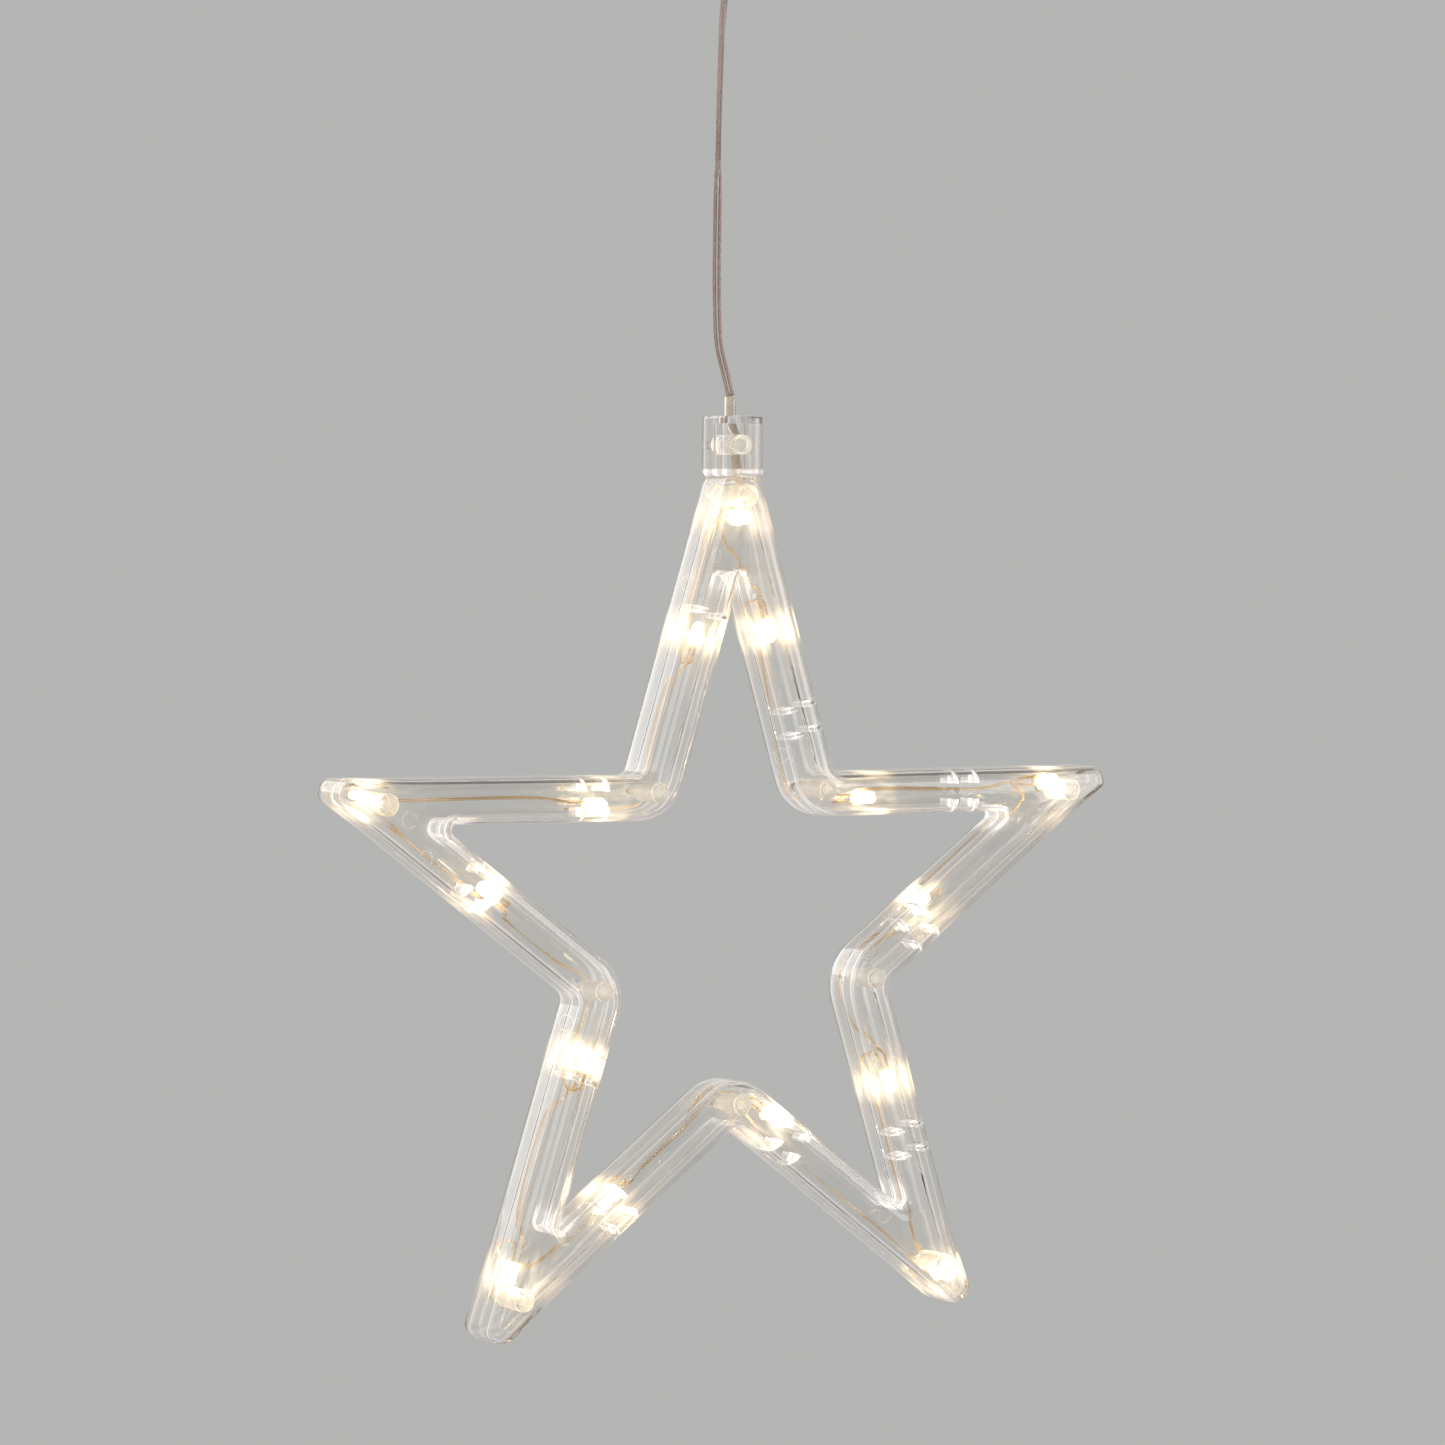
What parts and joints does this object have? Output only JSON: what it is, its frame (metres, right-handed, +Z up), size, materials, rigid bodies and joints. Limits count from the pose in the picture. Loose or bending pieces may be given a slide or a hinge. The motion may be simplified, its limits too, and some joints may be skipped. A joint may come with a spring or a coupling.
{
  "type": "led christmas star",
  "caption": "Clear hanging star of hollow box-section arms with warm lamps wired inside, a cap on the top tip and a flat twin lead to a ceiling fitting.",
  "frame": {"origin": "centre of the ceiling plate's flat top face, where the part is fixed overhead", "axes": "+Z up, the star's face looks along -Y, +X to the right of someone facing the star"},
  "size_m": [0.2182, 0.045, 0.3724],
  "materials": {
    "clear_plastic": "clear moulded plastic, glossy",
    "sleeve_plastic": "translucent flexible tube",
    "cord_plastic": "clear flat twin insulation over copper strands",
    "lamp_epoxy": "clear lamp body, lit warm white",
    "wire_plastic": "clear insulation over copper strands",
    "fitting_white": "white moulded plastic",
    "plate_steel": "plain steel",
    "screw_steel": "bright steel"
  },
  "bodies": {
    "fitting": {"ceiling_plate": "plate_steel", "plate_screw_1": "screw_steel", "plate_screw_2": "screw_steel", "ceiling_cover": "fitting_white", "cord_grip": "fitting_white"},
    "lead": {"cord": "cord_plastic"},
    "star": {"cable_sleeve": "sleeve_plastic", "cap_front": "clear_plastic", "cap_rear": "clear_plastic", "front_shell": "clear_plastic", "rear_shell": "clear_plastic", "lamp_01": "lamp_epoxy", "lamp_02": "lamp_epoxy", "lamp_03": "lamp_epoxy", "lamp_04": "lamp_epoxy", "lamp_05": "lamp_epoxy", "lamp_06": "lamp_epoxy", "lamp_07": "lamp_epoxy", "lamp_08": "lamp_epoxy", "lamp_09": "lamp_epoxy", "lamp_10": "lamp_epoxy", "lamp_11": "lamp_epoxy", "lamp_12": "lamp_epoxy", "lamp_13": "lamp_epoxy", "lamp_14": "lamp_epoxy", "lamp_15": "lamp_epoxy", "wire_feed": "wire_plastic", "wire_01": "wire_plastic", "wire_02": "wire_plastic", "wire_03": "wire_plastic", "wire_04": "wire_plastic", "wire_05": "wire_plastic", "wire_06": "wire_plastic", "wire_07": "wire_plastic", "wire_08": "wire_plastic", "wire_09": "wire_plastic", "wire_10": "wire_plastic", "wire_11": "wire_plastic", "wire_12": "wire_plastic", "wire_13": "wire_plastic", "wire_14": "wire_plastic", "wire_return": "wire_plastic"}
  },
  "joints": [
    {"name": "cord_swing", "type": "hinge", "parent": "fitting", "child": "lead", "pos_m": [0, 0, -0.041], "axis": [0, 1, 0], "range_deg": [-15, 15]},
    {"name": "star_twist", "type": "hinge", "parent": "lead", "child": "star", "pos_m": [-0.00075, 0, -0.1514], "axis": [0, 0, 1], "range_deg": [-180, 180]}
  ]
}
